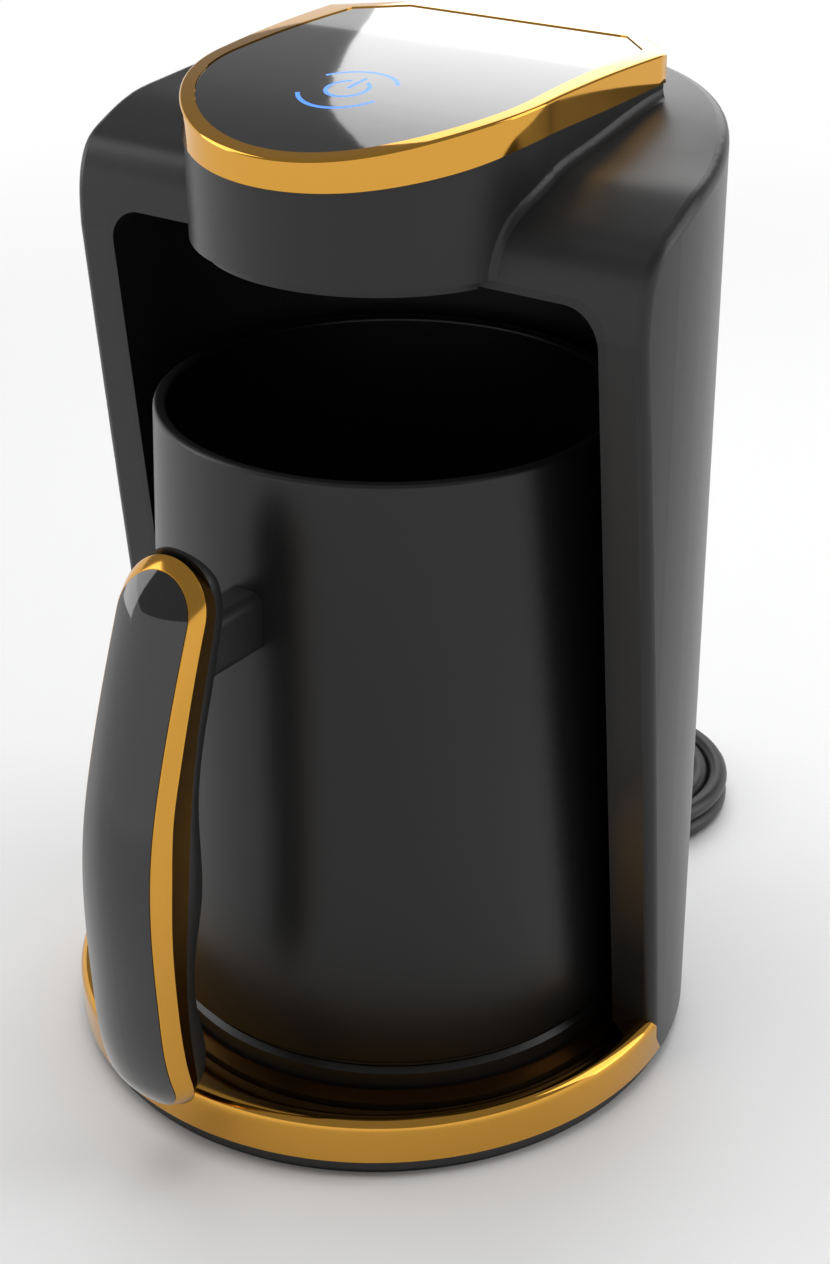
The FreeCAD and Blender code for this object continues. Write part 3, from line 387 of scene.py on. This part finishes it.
def build_ring():
    outer = [(RING_R - 0.05, RING_FOOT), (RING_R, RING_FOOT + 0.3), (RING_R, RING_EDGE)]
    for k in range(CREST_STEPS + 1):
        a = math.radians(4 + 104 * k / CREST_STEPS)
        outer.append((CREST_MID[0] + CREST_WIDE * math.cos(a), CREST_MID[1] + CREST_HIGH * math.sin(a)))
    rings = [circle(r, z) for r, z in outer]
    start = outer[-1]
    for k in range(1, SLOPE_STEPS + 1):
        t = k / SLOPE_STEPS
        r = start[0] + (SEAT_R - start[0]) * t
        z = start[1] + (SEAT_Z - start[1]) * t
        rings.append(circle(r, z, 0, POT_Y * t))
    rings.append(circle(BORE_R + 0.05, SEAT_Z - 0.2, 0, POT_Y))
    rings.append(circle(BORE_R, SEAT_Z - 0.45, 0, POT_Y))
    rings.append(circle(BORE_R, RING_FOOT, 0, POT_Y))
    verts, faces = loft(rings, closed=True)
    return make_mesh("base_ring_gilt", verts, faces, GILT, "machine", ["base_ring"], sharp=50)


# Handle: three layers drawn as round-ended outlines laid on side-view curves
HANDLE_FROM = -44.5
SHELL_SIDE = spline_fn([(27.0, 10.0), (29.5, 17.0), (33.0, 27.0), (34.9, 43.0), (35.4, 58.0), (33.7, 78.0),
                        (30.5, 90.0), (26.0, 103.0), (21.9, 113.5), (18.9, 121.0), (15.8, 129.0)])
RIDGE_SIDE = spline_fn([(25.4, 10.0), (27.0, 17.0), (29.6, 26.0), (31.2, 36.0), (31.9, 47.0), (32.0, 58.0),
                        (31.0, 71.0), (29.4, 83.0), (27.4, 90.0), (24.2, 100.0), (20.3, 111.0), (17.0, 120.0),
                        (15.0, 129.0)])
BAND_SIDE = spline_fn([(24.5, 10.0), (25.8, 20.0), (27.6, 43.0), (26.4, 57.0), (23.9, 77.0), (20.7, 94.0),
                       (16.3, 108.0), (14.2, 115.0), (13.6, 120.0), (14.6, 125.2), (17.0, 131.0)])
GRIP_SIDE = spline_fn([(23.1, 10.0), (22.5, 18.5), (20.9, 22.5), (21.9, 36.0), (21.5, 48.5), (18.7, 59.0),
                       (18.2, 69.0), (18.3, 78.0), (15.9, 91.0), (12.1, 102.0), (10.0, 109.0), (8.9, 114.0),
                       (9.6, 119.0), (11.4, 123.5), (13.2, 126.4), (15.6, 131.0)])
ARC_STEPS = 24
SIDE_STEPS = 72


def handle_ring(half, low, high, side, forward=0.0):
    """Round-ended outline from the bottom middle up the right side and down the left."""
    right = []
    for k in range(ARC_STEPS + 1):
        a = math.pi / 2 * k / ARC_STEPS
        right.append((half * math.sin(a), low + half * (1 - math.cos(a))))
    for k in range(1, SIDE_STEPS):
        right.append((half, low + half + (high - low - 2 * half) * k / SIDE_STEPS))
    for k in range(ARC_STEPS + 1):
        a = math.pi / 2 * k / ARC_STEPS
        right.append((half * math.cos(a), high - half * (1 - math.sin(a))))
    left = [(-x, z) for x, z in reversed(right[1:-1])]
    return [(x, HANDLE_FROM - side(z) - forward, z) for x, z in right + left]


def mirror_cap(first, count, flip):
    """Faces across a left-right symmetric ring."""
    faces = []
    half = count // 2
    for i in range(half):
        a, b = i, i + 1
        c, d = (count - i - 1) % count, (count - i) % count
        loop = [first + v for v in ((a, b, c, d) if a else (a, b, c))]
        if b == half:
            loop = [first + v for v in (a, b, d)]
        faces.append(tuple(reversed(loop)) if flip else tuple(loop))
    return faces


def handle_layer(name, rings, mat, node, sharp):
    count = len(rings[0])
    verts = [p for ring in rings for p in ring]
    faces = []
    for k in range(len(rings) - 1):
        a, b = k * count, (k + 1) * count
        for i in range(count):
            j = (i + 1) % count
            faces.append((a + i, a + j, b + j, b + i))
    faces += mirror_cap(0, count, False)
    faces += mirror_cap((len(rings) - 1) * count, count, True)
    faces = [tuple(reversed(f)) for f in faces]
    return make_mesh(name, verts, faces, mat, "pot", [node], sharp=sharp)


SHELL = (7.8, 17.0, 123.4)
BAND = (9.5, 15.2, 125.2)
GRIP = (7.4, 15.9, 126.2)
CROWN = 2.1
CROWN_STEPS = 12
GRIP_ROUND = 2.6
GRIP_STEPS = 8


def layer_ring(layer, inset, side, forward):
    """Ring of a layer, which is its half width, foot and top, set in by a distance all round."""
    half, low, high = layer
    return handle_ring(half - inset, low + inset, high - inset, side, forward)


def build_handle():
    rings = []
    for k in range(CROWN_STEPS + 1):
        d = (SHELL[0] - 0.05) * (k / CROWN_STEPS) ** 1.25
        t = (SHELL[0] - d) / SHELL[0]
        rings.append(layer_ring(SHELL, d, SHELL_SIDE, 0.15 + CROWN * (1 - t * t)))
    rings.reverse()
    rings.append(layer_ring(SHELL, 0.2, SHELL_SIDE, -0.2))
    handle_layer("handle_front", rings, GLOSS_BLACK, "handle_shell", 50)
    rings = [layer_ring(SHELL, 0.6, SHELL_SIDE, 0.0), layer_ring(SHELL, -0.1, SHELL_SIDE, 0.0),
             layer_ring(SHELL, -0.3, SHELL_SIDE, -0.15), layer_ring(BAND, 0.1, RIDGE_SIDE, 0.1),
             layer_ring(BAND, 0.0, RIDGE_SIDE, -0.25), layer_ring(BAND, 0.1, RIDGE_SIDE, -0.6),
             layer_ring(BAND, 1.0, BAND_SIDE, 0.1), layer_ring(BAND, 1.3, BAND_SIDE, -0.1)]
    handle_layer("handle_gilt_band", rings, GILT_SATIN, "handle_band", 24)
    rings = [layer_ring(GRIP, 0.0, BAND_SIDE, 0.0)]
    for k in range(GRIP_STEPS + 1):
        a = math.pi / 2 * k / GRIP_STEPS
        back = spline_mix(BAND_SIDE, GRIP_SIDE, 0.25 + 0.75 * math.sin(a))
        rings.append(layer_ring(GRIP, GRIP_ROUND * (1 - math.cos(a)), back, 0.0))
    handle_layer("handle_rear_grip", rings, SOFT_BLACK, "handle_grip", 50)


def spline_mix(front, back, t):
    def value(z):
        return front(z) * (1 - t) + back(z) * t
    return value


# Gilt trim of the head: outer wall, narrow bevel, top land and the ledge under the panel
TRIM_TOP = spline_fn([(186.2, -40.0), (188.4, -32.0), (191.0, -24.0), (193.7, -12.6), (195.0, -3.0),
                      (196.1, 11.0), (196.7, 27.0), (196.8, 40.0), (196.8, 60.0)])
TRIM_FOOT = spline_fn([(181.8, -40.0), (183.0, -32.0), (184.9, -23.5), (187.2, -12.6), (188.9, -3.6),
                       (190.0, 11.0), (190.8, 27.0), (191.6, 39.8), (192.0, 60.0)])
OUTLINE_STEPS = 160
EDGE_STEPS = 16
CORNER_GROWTH = 0.586


def head_outline(r, mid_y, half, back, corner):
    """Plan outline from the left shoulder round the front: arc, straight sides, cut-off back corners."""
    pts = []
    for k in range(OUTLINE_STEPS + 1):
        a = math.pi + math.pi * k / OUTLINE_STEPS
        pts.append((r * math.cos(a), mid_y + r * math.sin(a)))
    knots = [(r, mid_y), (half, back - corner), (half - corner, back),
             (corner - half, back), (-half, back - corner), (-r, mid_y)]
    for (xa, ya), (xb, yb) in zip(knots, knots[1:]):
        for k in range(1, EDGE_STEPS + 1):
            pts.append((xa + (xb - xa) * k / EDGE_STEPS, ya + (yb - ya) * k / EDGE_STEPS))
    return pts[:-1]


def nose_outline(grow):
    return head_outline(35.6 + grow, 3.9, 37.7 + grow, 49.7 + grow, 10.4 + CORNER_GROWTH * grow)


def panel_outline(grow):
    return head_outline(32.7 + grow, 3.2, 32.7 + grow, 48.0 + grow, 8.0 + CORNER_GROWTH * grow)


def build_trim():
    levels = [(nose_outline(0.4), TRIM_FOOT, 0.0), (nose_outline(0.4), TRIM_TOP, -0.6),
              (nose_outline(0.4), TRIM_TOP, -0.5), (nose_outline(0.34), TRIM_TOP, -0.3),
              (nose_outline(0.18), TRIM_TOP, -0.12), (nose_outline(-0.05), TRIM_TOP, -0.03),
              (nose_outline(-0.15), TRIM_TOP, -0.02), (panel_outline(0.1), TRIM_TOP, -0.02),
              (panel_outline(0.1), TRIM_TOP, -2.25), (panel_outline(-1.6), TRIM_TOP, -2.25),
              (panel_outline(-1.6), TRIM_FOOT, 0.0)]
    rings = [[(x, y, side(y) + lift) for x, y in outline] for outline, side, lift in levels]
    verts, faces = loft(rings, closed=True)
    return make_mesh("head_gilt_trim", verts, faces, GILT, "machine", ["head_trim"], sharp=50)


build_pot()
build_ring()
build_handle()
build_trim()


# Floor, background and light
FLOOR_NEAR = 0.16
FLOOR_FAR = 0.75
FLOOR_HALF = 4.0
BACKDROP_HIGH = 1.5
FLOOR_COLOUR = (0.8, 0.8, 0.8, 1.0)
STUDIO_GREY = (0.3, 0.3, 0.303, 1.0)


def floor_material():
    """Pale floor that turns to a white background away from the machine, in reflections too."""
    mat, nodes, links, shader = node_material("floor_pale")
    shader.inputs["Base Color"].default_value = FLOOR_COLOUR
    shader.inputs["Roughness"].default_value = 0.5
    white = nodes.new("ShaderNodeEmission")
    white.inputs["Color"].default_value = (1.0, 1.0, 1.0, 1.0)
    coord = nodes.new("ShaderNodeTexCoord")
    reach = nodes.new("ShaderNodeVectorMath")
    reach.operation = "LENGTH"
    fade = nodes.new("ShaderNodeMapRange")
    fade.interpolation_type = "SMOOTHSTEP"
    fade.inputs["From Min"].default_value = FLOOR_NEAR
    fade.inputs["From Max"].default_value = FLOOR_FAR
    links.new(coord.outputs["Object"], reach.inputs[0])
    links.new(reach.outputs["Value"], fade.inputs["Value"])
    path = nodes.new("ShaderNodeLightPath")
    seen = path.outputs["Is Camera Ray"]
    for other in ("Is Glossy Ray", "Is Transmission Ray"):
        either = nodes.new("ShaderNodeMath")
        either.operation = "MAXIMUM"
        links.new(seen, either.inputs[0])
        links.new(path.outputs[other], either.inputs[1])
        seen = either.outputs[0]
    share = nodes.new("ShaderNodeMath")
    share.operation = "MULTIPLY"
    links.new(fade.outputs[0], share.inputs[0])
    links.new(seen, share.inputs[1])
    mix = nodes.new("ShaderNodeMixShader")
    links.new(share.outputs[0], mix.inputs[0])
    links.new(shader.outputs[0], mix.inputs[1])
    links.new(white.outputs[0], mix.inputs[2])
    out = [n for n in nodes if n.bl_idname == "ShaderNodeOutputMaterial"][0]
    links.new(mix.outputs[0], out.inputs[0])
    return mat


def build_floor():
    """Floor with an upright backdrop along its four far sides."""
    mesh = bpy.data.meshes.new("floor")
    h = FLOOR_HALF
    corners = [(x, y, z) for z in (0.0, BACKDROP_HIGH) for x, y in ((-h, -h), (h, -h), (h, h), (-h, h))]
    sides = [(k + 4, (k + 1) % 4 + 4, (k + 1) % 4, k) for k in range(4)]
    mesh.from_pydata(corners, [], [(0, 1, 2, 3)] + sides)
    mesh.materials.append(floor_material())
    obj = link(bpy.data.objects.new("floor", mesh))


def build_world():
    """Plain pale grey room all round."""
    world = bpy.data.worlds.new("studio")
    bpy.context.scene.world = world
    world.use_nodes = True
    room = world.node_tree.nodes["Background"]
    room.inputs["Color"].default_value = STUDIO_GREY
    room.inputs["Strength"].default_value = 1.0


def softbox(name, place, target, wide, high, power, mirrored=True, roll=0.0):
    data = bpy.data.lights.new(name, "AREA")
    data.shape = "RECTANGLE"
    data.size = wide
    data.size_y = high
    data.energy = power
    obj = link(bpy.data.objects.new(name, data))
    obj.location = place
    way = Vector(target) - Vector(place)
    turn = Quaternion((0, 0, 1), math.radians(roll))
    obj.rotation_euler = (way.to_track_quat("-Z", "Y") @ turn).to_euler()
    obj.visible_camera = False
    obj.visible_glossy = mirrored


build_floor()
build_world()
softbox("top", (-0.1, 0.1, 1.6), (0, 0, 0), 1.4, 1.4, 18, mirrored=False)
softbox("right_back", (1.1, 0.7, 0.7), (0, 0, 0.1), 0.7, 1.4, 6)
softbox("left_front", (-1.2, -0.5, 0.7), (0, 0, 0.1), 0.6, 1.2, 5)
# The light that shows in the touch panel, with a slanting edge
softbox("panel_light", (-0.1405, 0.452, 0.46), (0.1415, 0.071, 0.3), 0.4, 0.395, 1.0, roll=-19)
